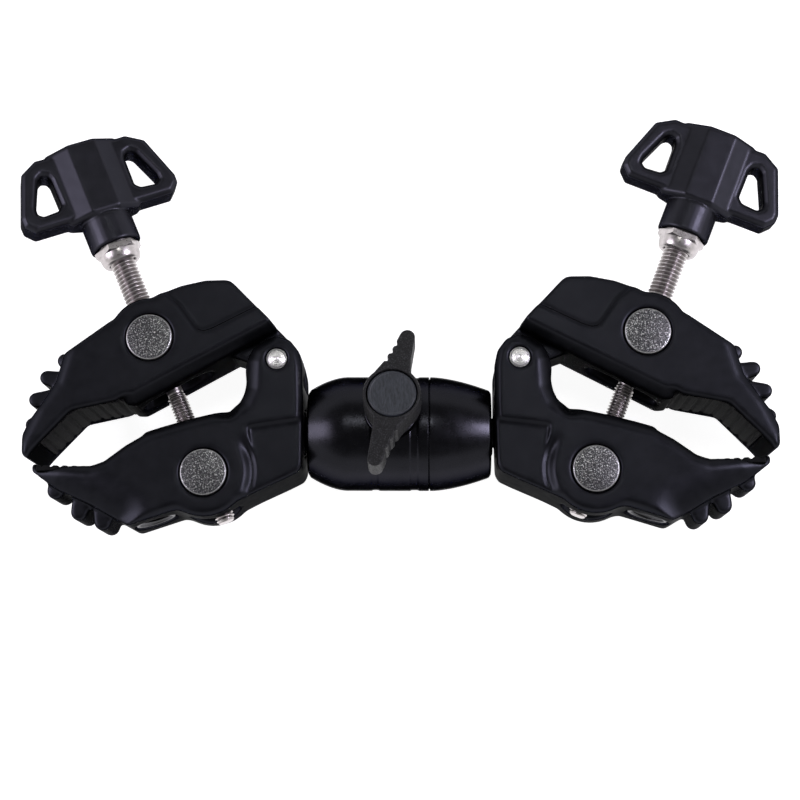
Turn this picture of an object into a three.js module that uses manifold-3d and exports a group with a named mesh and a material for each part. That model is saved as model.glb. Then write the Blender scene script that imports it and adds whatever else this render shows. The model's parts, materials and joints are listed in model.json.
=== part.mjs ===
// Double super clamp: two crab-shaped clamps, each on a ball, joined by one barrel with one locking lever.
// Millimetres. +X runs along the barrel, +Y points to the wing knobs, +Z is up from the table it lies on.
import * as THREE from "three";
import { mergeVertices } from "three/addons/utils/BufferGeometryUtils.js";
import Module from "manifold-3d";

const wasm = await Module();
wasm.setup();

// ---------- driving dimensions ----------
const FIT = 0.3; // clearance between pieces that touch
const THROUGH = 60; // length of a cutter that goes right through

const BARREL_RADIUS = 17.5;
const BARREL_HALF = 27.9; // from the middle to each rim
const RIM_RADIUS = 11.7;
const DOME_START = 14; // from the middle to where each dome begins
const DOME_DROP = 5.2;
const SEAM_X = 9.4; // where the end cap meets the barrel
const GROOVES = [
  [-8.6, -6.1],
  [3.2, 6.0],
];
const GROOVE_DEPTH = 0.5;
const BALL_RADIUS = 10;
const BALL_X = 18; // from the middle to each ball's centre
const MOUTH_RADIUS = 7;
const NECK_RADIUS = 4.5;
const CUP_BACK = 6.2;
const CUP_FRONT = 14.6;
const MOUTH_FLARE = 8.6; // radius of the ball's mouth at the rim
const BORE_RADIUS = 12.4;
const SPIGOT_RADIUS = 14.4;
const SPIGOT_LENGTH = 4.5;
const BLOCK_RADIUS = 10;
const FLANGE_RADIUS = 6.9; // the ball stud's flange, with its distances from the middle
const FLANGE_FROM = 28.9;
const FLANGE_TO = 30.6;
const STUD_RADIUS = 4;
const STUD_END = 39.4;

const LEVER_X = -2.2;
const LEVER_LEAN = THREE.MathUtils.degToRad(-12); // the lever's axis leans from +Z towards +Y
const LEVER_TURN = THREE.MathUtils.degToRad(-14); // how far its arms are turned from the Y axis
const LEVER_BOTTOM = 22;
const BOSS_BOTTOM = 11.4; // the barrel's boss under the lever, along the lever's axis
const BOSS_TOP = 19.4;
const LEVER_TOP = 32;
const LEVER_HUB = 8.6;
const LEVER_ARMS = [21.4, 22.6]; // reach of the upper and the lower arm
const LEVER_TIP = 2.3;
const POCKET_RADIUS = 7.6; // the pocket in the lever's top, for the lock screw's head and the cap
const POCKET_DEPTH = 4.6;
const CAP_THICKNESS = 2.1;
const HEAD_RADIUS = 4.6; // the lock screw's head
const HEAD_THICKNESS = 1.6;
const HEAD_DEPTH = 2.7; // from the lever's top to the head's top
const BUSH_RADIUS = 7.4;
const BUSH_BOTTOM = 19.7;
const BUSH_THICKNESS = 2;
const SHANK_RADIUS = 3; // the lock screw's shank
const CONE_TIP = 1;
const CONE_FROM = -5;
const CONE_TO = 3;
const BLOCK_GAP = 1.6; // from the lock screw's axis to each thrust block

const CLAMP_OFFSET = 0.8; // moves both clamps out, which gives the balls their play
const RIGHT_TILT = THREE.MathUtils.degToRad(2); // the right clamp is stored a little tilted
const JAW_DEPTH = 30;
const RIB_DEPTH = 21.6; // depth of the narrower underside of the upper jaw
const TONGUE_DEPTH = 16;
const FORK_GAP = 17;
const TOOTH_DEPTH = 18;
const PANEL_DEPTH = 27; // jaw depth in the sunk panels behind the bosses
const HINGE = [36.4, 20.8];
const UPPER_PIN = [75.2, 27.25];
const LOWER_PIN = [57.65, -14.05];
const PIN_RADIUS = 7;
const PIN_LENGTH = 30.4;
const BOSS_RADIUS = 12.6;
const RIVET_RADIUS = 3.1;
const RIVET_LENGTH = 28.6;

const M8 = 4;
const M6 = 3;
const SCREW_TOP = 54; // distances along the screw from the upper pin, up is positive
const M8_END = -13;
const M6_START = -16.5;
const SCREW_END = -59.6;
const NUT_FLATS = 13;
const NUT_COLLAR = 3.4; // height of the nut's rounded collar, below its flats
const NUT_HEX = 2.2; // height of its flats
const NUT_BOTTOM = 29.1;
const WASHER_RADIUS = 6.3;
const WASHER_THICKNESS = 0.8;
const KNOB_BOTTOM = 35;
const KNOB_PLATE_BOTTOM = 45.8;
const KNOB_TOP = 69.3;
const KNOB_RISES = { left: 0, right: 1.2 }; // how far each screw is stored backed out
const KNOB_TURNS = { left: 16, right: 3 }; // degrees each knob is stored turned about its screw
const KNOB_NECK = 8;
const KNOB_PLATE = 9.8;
const HUB_DEPTH = 8.2; // from the screw's axis to the hub's flat front
const HUB_FLAT = 4.3; // half the width of that flat
const SLOT_WIDTH = 10.4; // across the screw's slots in both jaws
const PAD_THICKNESS = 1.7;
const PAD_DEPTH = 24;
const PAD_RIB = 2.7;
const PAD_SET = 0.5; // how far the pads lie below the jaws' edges
const INSERT_RADIUS = 6.2;
const INSERT_BORE = 4.35;
const INSERT_LENGTH = 9;

const ROUND = 32; // facets of the large round pieces
const SMALL_ROUND = 20;

// ---------- materials ----------
const finish = (color, roughness, metalness) =>
  new THREE.MeshStandardMaterial({ color, roughness, metalness });
const jawPaint = () => finish(0x202127, 0.5, 0.2);
const barrelPaint = () => finish(0x121215, 0.28, 0.5);
const leverPlastic = () => finish(0x2f3036, 0.7, 0);
const knobPaint = () => finish(0x26252b, 0.45, 0.2);
const blackSteel = () => finish(0x1c1c20, 0.4, 0.6);
const rubber = () => finish(0x17171a, 0.9, 0);
const steel = () => finish(0xb9b5b4, 0.28, 1);
const nickel = () => finish(0x8c8b90, 0.42, 1);
const brass = () => finish(0xb08d4c, 0.35, 1);
const polymer = () => finish(0xd8d5cc, 0.6, 0);

// ---------- solids ----------
// A three.js geometry as a solid that can be cut and joined.
function solid(geometry) {
  const bare = geometry.clone();
  bare.deleteAttribute("normal");
  bare.deleteAttribute("uv");
  const merged = mergeVertices(bare, 1e-4);
  const vertProperties = merged.attributes.position.array;
  const triVerts = new Uint32Array(merged.index.array);
  return new wasm.Manifold(new wasm.Mesh({ numProp: 3, vertProperties, triVerts }));
}

// A solid as a named mesh.
function piece(name, body, material) {
  const data = body.getMesh();
  const count = data.numProp;
  const places = new Float32Array(data.numVert * 3);
  for (let i = 0; i < data.numVert; i++) {
    places.set(data.vertProperties.subarray(i * count, i * count + 3), i * 3);
  }
  const geometry = new THREE.BufferGeometry();
  geometry.setAttribute("position", new THREE.BufferAttribute(places, 3));
  geometry.setIndex(new THREE.BufferAttribute(data.triVerts, 1));
  geometry.computeVertexNormals();
  const mesh = new THREE.Mesh(geometry, material);
  mesh.name = name;
  return mesh;
}

const join = (...bodies) => bodies.reduce((sum, body) => sum.add(body));
const cut = (body, ...cutters) => cutters.reduce((rest, cutter) => rest.subtract(cutter), body);

// An outline pulled along Z, centred on the XY plane, with its edges bevelled by bevel across and drop in Z.
function plate(outline, depth, bevel = 0, holes = [], drop = bevel) {
  const shape = new THREE.Shape(outline.map(([x, y]) => new THREE.Vector2(x, y)));
  holes.forEach((hole) => shape.holes.push(new THREE.Path(hole.map(([x, y]) => new THREE.Vector2(x, y)))));
  const geometry = new THREE.ExtrudeGeometry(shape, {
    depth: depth - 2 * drop,
    bevelEnabled: bevel > 0,
    bevelThickness: drop,
    bevelSize: bevel,
    bevelOffset: -bevel,
    bevelSegments: 1,
    steps: 1,
  });
  geometry.translate(0, 0, drop - depth / 2);
  return solid(geometry);
}

// A round bar along Z through a point of the XY plane.
function bar([x, y], radius, depth, sides = ROUND) {
  const geometry = new THREE.CylinderGeometry(radius, radius, depth, sides);
  geometry.rotateX(Math.PI / 2);
  geometry.translate(x, y, 0);
  return solid(geometry);
}

// A block along Z with both its ends bevelled.
function bevelledBar([x, y], radius, depth, bevel, sides = ROUND) {
  const half = depth / 2;
  const profile = [
    [0, -half],
    [radius - bevel, -half],
    [radius, bevel - half],
    [radius, half - bevel],
    [radius - bevel, half],
    [0, half],
  ];
  const geometry = turned(profile, sides);
  geometry.rotateX(Math.PI / 2);
  geometry.translate(x, y, 0);
  return solid(geometry);
}

// A profile of [radius, height] points turned round the Y axis.
const turned = (profile, sides = ROUND) =>
  new THREE.LatheGeometry(
    profile.map(([r, h]) => new THREE.Vector2(r, h)),
    sides,
  );

// A profile of [radius, x] points turned round the X axis.
function turnedX(profile, sides = ROUND) {
  const geometry = turned(profile, sides);
  geometry.rotateZ(-Math.PI / 2);
  return solid(geometry);
}

// Points of an arc about a centre, angles in degrees.
function arc([x, y], radius, from, to, steps) {
  return Array.from({ length: steps + 1 }, (_, i) => {
    const angle = THREE.MathUtils.degToRad(from + ((to - from) * i) / steps);
    return [x + radius * Math.cos(angle), y + radius * Math.sin(angle)];
  });
}

// ---------- barrel, end cap and lock ----------
// The domed outside from a rim to the barrel's full radius.
function dome(side) {
  const steps = 7;
  const run = BARREL_HALF - 0.6 - DOME_START;
  return Array.from({ length: steps + 1 }, (_, i) => {
    const share = 1 - i / steps;
    return [BARREL_RADIUS - DOME_DROP * share ** 2, side * (DOME_START + run * share)];
  });
}

const cupBall = (x) => solid(new THREE.SphereGeometry(BALL_RADIUS + FIT, ROUND, 16).translate(x, 0, 0));
const seatInner = (side) => {
  const opening = side * (BALL_X + Math.sqrt(BALL_RADIUS ** 2 - MOUTH_RADIUS ** 2));
  return turnedX(
    side > 0
      ? [[0, opening - 3], [MOUTH_RADIUS, opening - 3], [MOUTH_RADIUS, opening], [MOUTH_FLARE, BARREL_HALF + 1], [0, BARREL_HALF + 1]]
      : [[0, -BARREL_HALF - 1], [MOUTH_FLARE, -BARREL_HALF - 1], [MOUTH_RADIUS, opening], [MOUTH_RADIUS, opening + 3], [0, opening + 3]],
  );
};

// Everything that belongs to the lever's axis, built along Z and leaned as one.
const lean = (body) => body.rotate([THREE.MathUtils.radToDeg(LEVER_LEAN), 0, 0]);

function barrelShell() {
  const outside = [
    [0, -BARREL_HALF],
    [RIM_RADIUS, -BARREL_HALF],
    ...dome(-1),
    ...GROOVES.flatMap(([from, to]) => [
      [BARREL_RADIUS, from],
      [BARREL_RADIUS - GROOVE_DEPTH, from + GROOVE_DEPTH],
      [BARREL_RADIUS - GROOVE_DEPTH, to - GROOVE_DEPTH],
      [BARREL_RADIUS, to],
    ]),
    [BARREL_RADIUS, SEAM_X - GROOVE_DEPTH],
    [BARREL_RADIUS - GROOVE_DEPTH, SEAM_X - FIT / 2],
    [0, SEAM_X - FIT / 2],
  ];
  const bore = turnedX([
    [0, -BALL_X],
    [BORE_RADIUS, -BALL_X],
    [BORE_RADIUS, SEAM_X - SPIGOT_LENGTH - FIT],
    [SPIGOT_RADIUS + FIT, SEAM_X - SPIGOT_LENGTH - FIT],
    [SPIGOT_RADIUS + FIT, SEAM_X + 1],
    [0, SEAM_X + 1],
  ]);
  const screwHole = lean(bar([LEVER_X, 0], BUSH_RADIUS - 1.4 + FIT, LEVER_BOTTOM, SMALL_ROUND).translate([0, 0, 16]));
  const bossHeight = BOSS_TOP - BOSS_BOTTOM;
  const boss = lean(bar([LEVER_X, 0], BUSH_RADIUS + 0.6, bossHeight).translate([0, 0, BOSS_BOTTOM + bossHeight / 2]));
  return cut(join(turnedX(outside), boss), bore, screwHole, cupBall(-BALL_X), seatInner(-1));
}

function endCap() {
  const start = SEAM_X + FIT / 2;
  const outside = [
    [0, SEAM_X - SPIGOT_LENGTH],
    [SPIGOT_RADIUS, SEAM_X - SPIGOT_LENGTH],
    [SPIGOT_RADIUS, start],
    [BARREL_RADIUS - GROOVE_DEPTH, start],
    [BARREL_RADIUS, SEAM_X + GROOVE_DEPTH],
    ...dome(1).reverse(),
    [RIM_RADIUS, BARREL_HALF],
    [0, BARREL_HALF],
  ];
  const bore = turnedX([
    [0, SEAM_X - SPIGOT_LENGTH - 1],
    [BORE_RADIUS, SEAM_X - SPIGOT_LENGTH - 1],
    [BORE_RADIUS, BALL_X],
    [0, BALL_X],
  ]);
  return cut(turnedX(outside), bore, cupBall(BALL_X), seatInner(1));
}

// The cup that presses on the inner side of a ball.
function ballCup(side) {
  const radius = BORE_RADIUS - FIT;
  const profile = [
    [0, CUP_BACK],
    [radius - 1, CUP_BACK],
    [radius, CUP_BACK + 1],
    [radius, CUP_FRONT],
    [0, CUP_FRONT],
  ];
  const cup = cut(turnedX(profile), cupBall(BALL_X));
  return side > 0 ? cup : cup.mirror([1, 0, 0]);
}

// The block between the lock screw's cone and a cup, with a slanted inner face.
function thrustBlock(side) {
  const inner = LEVER_X + side * BLOCK_GAP;
  const outer = side * (CUP_BACK - FIT);
  const [from, to] = [Math.min(inner, outer), Math.max(inner, outer)];
  const block = turnedX([[0, from], [BLOCK_RADIUS, from], [BLOCK_RADIUS, to], [0, to]]);
  return cut(block, lean(lockCone(FIT)));
}

// The lock screw's cone about its own axis, grown by a clearance.
function lockCone(grow) {
  const profile = [
    [0, CONE_FROM - grow],
    [CONE_TIP + grow, CONE_FROM - grow],
    [SHANK_RADIUS + grow, CONE_TO],
    [SHANK_RADIUS + grow, LEVER_TOP - HEAD_DEPTH - 0.5],
    [0, LEVER_TOP - HEAD_DEPTH - 0.5],
  ];
  const geometry = turned(profile, SMALL_ROUND);
  geometry.rotateX(Math.PI / 2);
  geometry.translate(LEVER_X, 0, 0);
  return solid(geometry);
}

function lockScrew() {
  const head = bar([LEVER_X, 0], HEAD_RADIUS, HEAD_THICKNESS, 6);
  return lean(join(lockCone(0), head.translate([0, 0, LEVER_TOP - HEAD_DEPTH - HEAD_THICKNESS / 2])));
}

const lockBush = () =>
  lean(
    cut(
      bar([LEVER_X, 0], BUSH_RADIUS, BUSH_THICKNESS).translate([0, 0, BUSH_BOTTOM + BUSH_THICKNESS / 2]),
      bar([LEVER_X, 0], SHANK_RADIUS + FIT, THROUGH, SMALL_ROUND),
    ),
  );

// One arm of the lever, pointing along +Y from the hub, with grip notches on its left side.
function leverArm(reach) {
  const tip = arc([0.9, reach - LEVER_TIP], LEVER_TIP, -10, 170, 8);
  const outline = [[7.2, 2.5], [4.2, 7.5], [3.4, 12], ...tip, [-2.4, 15], [-4.4, 9.5], [-7.6, 3.5]];
  const notches = [0, 1, 2].map((i) => bar([-2.1 - i * 0.8, reach - 5.4 - i * 2.75], 0.75, THROUGH, 12));
  return cut(plate(outline, LEVER_TOP - LEVER_BOTTOM, 0.5), ...notches);
}

function lockLever() {
  const [upper, lower] = LEVER_ARMS.map(leverArm);
  const thickness = LEVER_TOP - LEVER_BOTTOM;
  const hub = bevelledBar([0, 0], LEVER_HUB, thickness, 0.5);
  const pocket = bar([0, 0], POCKET_RADIUS, thickness).translate([0, 0, thickness - POCKET_DEPTH]);
  const hole = bar([0, 0], SHANK_RADIUS + FIT, THROUGH, SMALL_ROUND);
  const lever = cut(join(hub, upper, lower.rotate([0, 0, 180])), pocket, hole);
  const turnedLever = lever.rotate([0, 0, THREE.MathUtils.radToDeg(LEVER_TURN)]);
  return lean(turnedLever.translate([LEVER_X, 0, (LEVER_BOTTOM + LEVER_TOP) / 2]));
}

const leverCap = () =>
  lean(
    bevelledBar([LEVER_X, 0], POCKET_RADIUS - FIT, CAP_THICKNESS, 0.4).translate([
      0, 0, LEVER_TOP - FIT - CAP_THICKNESS / 2,
    ]),
  );

// ---------- one clamp, drawn with +X away from the barrel ----------
const screwAxis = new THREE.Vector2(UPPER_PIN[0] - LOWER_PIN[0], UPPER_PIN[1] - LOWER_PIN[1]).normalize();
const screwLean = Math.atan2(screwAxis.x, screwAxis.y);

// Moves a solid built along +Y from the upper pin's centre onto the screw's axis.
const onScrew = (body) =>
  body.rotate([0, 0, -THREE.MathUtils.radToDeg(screwLean)]).translate([...UPPER_PIN, 0]);

const UPPER_FACE = [
  [41.2, 35.6], [49.9, 44.4], [52.3, 45.7], [58.8, 45.5], [66.2, 43.8], [72.7, 41.2], [87.7, 32.4], [101.4, 22.3],
  [103.4, 13.7], [108.0, 6.1], [111.1, 1.8], [113.0, -2.6], [112.9, -8.4], [111.4, -10.2], [109.0, -7.0],
  [98.2, 4.6], [84.7, 7.6],
];
const UPPER_RIB = [[28.0, 35.4], [79.0, 6.9], [92.0, 7.4], [92.0, 20.0], [58.0, 42.0], [44.0, 52.0]];
const UPPER_BACK = [[36.0, 30.4], [60.0, 54.4], [80, 54.4], [96, 20], [96, 0], [60, 0], [36.0, 20]]; // keeps the rib behind the jaw's back edge
const TONGUE = [
  [36.0, 30.6], [41.2, 35.6], [60, 36], [60, 18.6], [50.6, 22.6], [45.2, 20.8], [44.6, 16.4],
  ...arc(HINGE, 7.2, -35, -215, 12),
];
const UPPER_PANEL = [
  [71.7, 41.5], [66.8, 37.6], [63.3, 32.9], [61.1, 29.9], [58.7, 29.2], [55.9, 30.2], [42.0, 37.4],
  [36, 33], [44, 50], [70, 50],
];
const LOWER_FACE = [
  [110.6, -10.8], [91.0, -11.2], [88.2, -9.9], [82.0, -5.2], [75.8, -1.5], [70.9, 0.1], [62.3, 2.6], [50.6, 5.4],
  [47.6, 7.4], [46.2, 10.2], [45.6, 13.7], [46.0, 17.6], [45.4, 21.4], [43.9, 24.4], [40.8, 27.1], [36.5, 28.1],
  [32.6, 26.9], [29.7, 23.3], [28.6, 18.7], [28.2, 7.4], [28.2, -11.5], [29.3, -13.6], [33.4, -15.7],
  [42.1, -19.8], [50.1, -23.9], [54.1, -25.8], [58.7, -26.6], [62.2, -26.0], [66.2, -25.3], [80.1, -30.0],
  [85.2, -27.2], [92.2, -23.3], [101.7, -19.2], [110.2, -13.6],
];
const LOWER_PANEL = [
  [20, 3.6], [44.6, -0.1], [43.6, -6], [43.2, -14], [45.6, -21], [47.4, -30], [20, -30],
];

const UPPER_TEETH = [[102.1, 21.2], [107.3, 15.9], [110.4, 9.0], [111.1, 1.2]];
const LOWER_TEETH = [[88.6, -28.4], [95.8, -25.5], [103.3, -19.0]];

// A row of rounded teeth along a jaw's outer edge. Each points away from a root point and is rooted in the jaw.
function teeth(tips, root, radius, length) {
  const across = (a, b) => new THREE.Vector2(b[0] - a[0], b[1] - a[1]).normalize();
  return join(
    ...tips.map((tip) => {
      const way = across(root, tip);
      const side = [-way.y * radius, way.x * radius];
      const foot = [tip[0] - way.x * length, tip[1] - way.y * length];
      const stem = plate(
        [
          [tip[0] - side[0], tip[1] - side[1]],
          [tip[0] + side[0], tip[1] + side[1]],
          [foot[0] + side[0] * 1.3, foot[1] + side[1] * 1.3],
          [foot[0] - side[0] * 1.3, foot[1] - side[1] * 1.3],
        ],
        TOOTH_DEPTH,
      );
      return join(stem, bar(tip, radius, TOOTH_DEPTH, 16));
    }),
  );
}

// The fan-shaped slot that lets the screw swing about a pin, from one lean to another, in degrees from +Y.
function screwSlot([x, y], from, to, reach) {
  const channel = (way) =>
    solid(new THREE.CylinderGeometry(SLOT_WIDTH / 2, SLOT_WIDTH / 2, reach, SMALL_ROUND))
      .translate([0, reach / 2, 0])
      .rotate([0, 0, -way])
      .translate([x, y, 0]);
  const end = (way) => {
    const angle = THREE.MathUtils.degToRad(way);
    return [x + Math.sin(angle) * reach, y + Math.cos(angle) * reach];
  };
  return join(channel(from), channel(to), plate([[x, y], end(from), end(to)], SLOT_WIDTH));
}

// The lines of the jaws' grip faces.
const UPPER_GRIP = [[107.6, -5.4], [98.1, 4.1], [94.9, 5.6], [82.4, 7.5]];
const LOWER_GRIP = [[108.6, -11.1], [91.2, -11.4], [88.6, -10.3], [82.4, -5.6], [76.6, -2.0]];

// A grip line moved into its jaw, which is on the line's left when into is 1.
function inset(line, into, by) {
  return line.map(([x, y], i) => {
    const a = line[Math.max(i - 1, 0)];
    const b = line[Math.min(i + 1, line.length - 1)];
    const way = new THREE.Vector2(b[0] - a[0], b[1] - a[1]).normalize();
    return [x + way.y * into * by, y - way.x * into * by];
  });
}

// The strip between a grip line moved into its jaw by one distance and by another.
const strip = (line, into, from, to) => [...inset(line, into, from), ...inset(line, into, to).reverse()];

// Positions every pitch along a grip line, with the line's direction there.
function stations(line, pitch) {
  return line.slice(1).flatMap((end, i) => {
    const start = line[i];
    const run = new THREE.Vector2(end[0] - start[0], end[1] - start[1]);
    const count = Math.max(1, Math.floor(run.length() / pitch));
    return Array.from({ length: count }, (_, k) => {
      const t = (k + 0.5) / count;
      return { place: [start[0] + run.x * t, start[1] + run.y * t], angle: run.angle() };
    });
  });
}

// A rubber pad: a strip with fine ribs across its grip side.
function pad(line, into) {
  const base = plate(strip(line, into, PAD_SET, PAD_SET + PAD_THICKNESS), PAD_DEPTH);
  const grooves = stations(inset(line, into, PAD_SET), PAD_RIB).map(({ place, angle }) => {
    const box = solid(new THREE.BoxGeometry(PAD_RIB * 0.42, 1, PAD_DEPTH + 2));
    return box.rotate([0, 0, THREE.MathUtils.radToDeg(angle)]).translate([...place, 0]);
  });
  return cut(base, ...grooves);
}

const padRecess = (line, into) =>
  plate(strip(line, into, -3, PAD_SET + PAD_THICKNESS + FIT), PAD_DEPTH + 2 * FIT);

const sunkPanels = (outline) =>
  [1, -1].map((side) => plate(outline, 10).translate([0, 0, side * (PANEL_DEPTH / 2 + 5)]));

function upperJaw() {
  const face = plate(UPPER_FACE, JAW_DEPTH, 1.3);
  const rib = plate(UPPER_RIB, JAW_DEPTH, 3.4, [], (JAW_DEPTH - RIB_DEPTH) / 2).intersect(
    plate(UPPER_BACK, JAW_DEPTH),
  );
  const boss = bevelledBar(UPPER_PIN, BOSS_RADIUS, JAW_DEPTH, 1.3);
  const tongue = plate(TONGUE, TONGUE_DEPTH, 0.6);
  const body = join(face, rib, boss, tongue, teeth(UPPER_TEETH, [84, 12], 2.3, 9));
  const hingeSides = [1, -1].map((side) =>
    bar(HINGE, 8.8, 10).translate([0, 0, side * (TONGUE_DEPTH / 2 + 5)]),
  );
  return cut(
    body,
    ...hingeSides,
    ...sunkPanels(UPPER_PANEL),
    bar(UPPER_PIN, PIN_RADIUS + FIT, THROUGH),
    bar(HINGE, RIVET_RADIUS + FIT, THROUGH, SMALL_ROUND),
    screwSlot(UPPER_PIN, 19, 42, 30),
    screwSlot(UPPER_PIN, 186, 230, 36),
    padRecess(UPPER_GRIP, 1),
  );
}

const bottomWay = new THREE.Vector2(80.1 - 66.2, -30.0 + 25.3).normalize();
const insertPlace = [73.4, -27.74];

// Moves a solid built along +Y from its top face onto the lower jaw's bottom flat, pointing out of it.
const onBottomFlat = (body) =>
  body.rotate([0, 0, THREE.MathUtils.radToDeg(bottomWay.angle()) + 180]).translate([...insertPlace, 0]);

function lowerJaw() {
  const face = plate(LOWER_FACE, JAW_DEPTH, 1.8);
  const boss = bevelledBar(LOWER_PIN, BOSS_RADIUS + 0.6, JAW_DEPTH, 1.3);
  const body = join(face, boss, teeth(LOWER_TEETH, [88, 8], 2.6, 6));
  const fork = join(
    bar(HINGE, 9.8, FORK_GAP),
    plate([[31, 20], [36, 40], [70, 40], [70, 24], [54, 12], [44.2, 14.2]], FORK_GAP),
  );
  const insertHole = solid(new THREE.CylinderGeometry(INSERT_RADIUS + FIT, INSERT_RADIUS + FIT, 24, SMALL_ROUND));
  const studHole = turnedX(
    [[0, 20], [STUD_RADIUS + FIT, 20], [STUD_RADIUS + FIT, STUD_END + 1.6], [0, STUD_END + 1.6]],
    SMALL_ROUND,
  );
  const flangeSeat = FLANGE_TO - CLAMP_OFFSET + 0.4;
  const flangeHole = turnedX(
    [[0, 20], [FLANGE_RADIUS + 0.5, 20], [FLANGE_RADIUS + 0.5, flangeSeat], [0, flangeSeat]],
    SMALL_ROUND,
  );
  return cut(
    body,
    fork,
    ...sunkPanels(LOWER_PANEL),
    bar(LOWER_PIN, PIN_RADIUS + FIT, THROUGH),
    bar(HINGE, RIVET_RADIUS + FIT, THROUGH, SMALL_ROUND),
    screwSlot(LOWER_PIN, 1.5, 23, 30),
    screwSlot(LOWER_PIN, 181.5, 203, 24),
    onBottomFlat(insertHole),
    studHole,
    flangeHole,
    padRecess(LOWER_GRIP, -1),
  );
}

const barrelPin = (place, holeRadius) => {
  const hole = solid(new THREE.CylinderGeometry(holeRadius, holeRadius, THROUGH, SMALL_ROUND));
  const across = hole.rotate([0, 0, -THREE.MathUtils.radToDeg(screwLean)]).translate([...place, 0]);
  return cut(bevelledBar(place, PIN_RADIUS, PIN_LENGTH, 0.5), across);
};

const hingeRivet = () => bevelledBar(HINGE, RIVET_RADIUS, RIVET_LENGTH, 0.4, SMALL_ROUND);

function clampScrew() {
  const profile = [
    [0, SCREW_END],
    [M6 - 0.8, SCREW_END],
    [M6, SCREW_END + 0.8],
    [M6, M6_START],
    [M6 - 0.5, M6_START + 0.6],
    [M6 - 0.5, M8_END - 1],
    [M8, M8_END],
    [M8, SCREW_TOP - 0.8],
    [M8 - 0.8, SCREW_TOP],
    [0, SCREW_TOP],
  ];
  return solid(turned(profile, SMALL_ROUND));
}

function ring(inner, outer, from, to, sides = ROUND) {
  const height = to - from;
  const middle = (from + to) / 2;
  const body = solid(new THREE.CylinderGeometry(outer, outer, height, sides));
  const hole = solid(new THREE.CylinderGeometry(inner, inner, height + 2, SMALL_ROUND));
  return cut(body, hole).translate([0, middle, 0]);
}

const nutCorner = NUT_FLATS / Math.sqrt(3);

function hexNut() {
  const flatsBottom = NUT_BOTTOM + NUT_COLLAR;
  const hex = ring(M8 + FIT, nutCorner, flatsBottom, flatsBottom + NUT_HEX, 6);
  const collar = turned([
    [0, NUT_BOTTOM],
    [M8 + 0.9, NUT_BOTTOM],
    [M8 + 1.8, NUT_BOTTOM + 0.8],
    [M8 + 2.5, flatsBottom],
    [0, flatsBottom + 1],
  ]);
  const hole = new THREE.CylinderGeometry(M8 + FIT, M8 + FIT, THROUGH, SMALL_ROUND);
  return join(hex, cut(solid(collar), solid(hole).translate([0, NUT_BOTTOM, 0])));
}

const lockWasher = () => ring(M8 + FIT, WASHER_RADIUS, KNOB_BOTTOM, KNOB_BOTTOM + WASHER_THICKNESS);

// The wing plate's right half, as [across, up] from the knob's lower edge on the screw's axis.
const WING = [
  [0, -1], [7.6, -1], [9.2, 0], [22.6, 0], [25.3, 2.8], [25.4, 5.5], [20.4, 19.5], [15.0, 22.7], [8.8, 22.5],
  [5.2, 23.5], [0, 23.5],
].map(([across, up]) => [across, KNOB_PLATE_BOTTOM + up]);
const WING_HOLE = [
  [13.6, 4.7], [18.6, 4.3], [20.2, 5.5], [20.1, 7.3], [16.2, 16.4], [14.6, 17.5], [12.9, 16.9], [12.2, 15.3],
  [12.0, 6.2],
].map(([across, up]) => [across, KNOB_PLATE_BOTTOM + up]);
const mirrored = (points) => points.map(([x, y]) => [-x, y]).reverse();

function wingKnob() {
  const outline = [...WING, ...mirrored(WING.slice(1, -1))];
  const wings = plate(outline, KNOB_PLATE, 1.2, [WING_HOLE, mirrored(WING_HOLE)]);
  const hubOutline = [
    [-12, 3.5], [-HUB_FLAT, HUB_DEPTH], [HUB_FLAT, HUB_DEPTH], [12, 3.5],
    [12, -3.5], [HUB_FLAT, -HUB_DEPTH], [-HUB_FLAT, -HUB_DEPTH], [-12, -3.5],
  ];
  const hubHeight = KNOB_TOP - KNOB_PLATE_BOTTOM + 1;
  const hub = plate(hubOutline, hubHeight, 1)
    .rotate([90, 0, 0])
    .translate([0, KNOB_TOP - hubHeight / 2, 0]);
  const neckProfile = [
    [0, KNOB_BOTTOM],
    [KNOB_NECK - 0.3, KNOB_BOTTOM],
    [KNOB_NECK, KNOB_BOTTOM + 0.3],
    [KNOB_NECK, KNOB_PLATE_BOTTOM - 1.8],
    [KNOB_NECK - 0.9, KNOB_PLATE_BOTTOM - 0.9],
    [KNOB_NECK - 0.9, KNOB_PLATE_BOTTOM + 1],
    [0, KNOB_PLATE_BOTTOM + 1],
  ];
  const neck = solid(turned(neckProfile));
  // A hole along the screw's axis from below the neck up to a height.
  const holeTo = (top, radius) =>
    solid(new THREE.CylinderGeometry(radius, radius, top - KNOB_BOTTOM + 1, SMALL_ROUND)).translate([
      0, (top + KNOB_BOTTOM - 1) / 2, 0,
    ]);
  const washerSeat = holeTo(KNOB_BOTTOM + WASHER_THICKNESS + FIT, WASHER_RADIUS + FIT);
  return cut(join(wings, hub, neck), washerSeat, holeTo(SCREW_TOP + FIT, M8 + FIT));
}

// Ball, neck, flange and threaded stud, turned in one piece.
function ballStud() {
  const profile = [
    [0, BALL_X - BALL_RADIUS],
    ...arc([0, 0], BALL_RADIUS, -80, 62, 12).map(([c, s]) => [c, BALL_X + s]).filter(([r]) => r > NECK_RADIUS),
    [NECK_RADIUS, FLANGE_FROM - FIT],
    [FLANGE_RADIUS, FLANGE_FROM],
    [FLANGE_RADIUS, FLANGE_TO],
    [STUD_RADIUS, FLANGE_TO],
    [STUD_RADIUS, STUD_END - 0.8],
    [STUD_RADIUS - 0.6, STUD_END],
    [0, STUD_END],
  ];
  return turnedX(profile);
}

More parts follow.
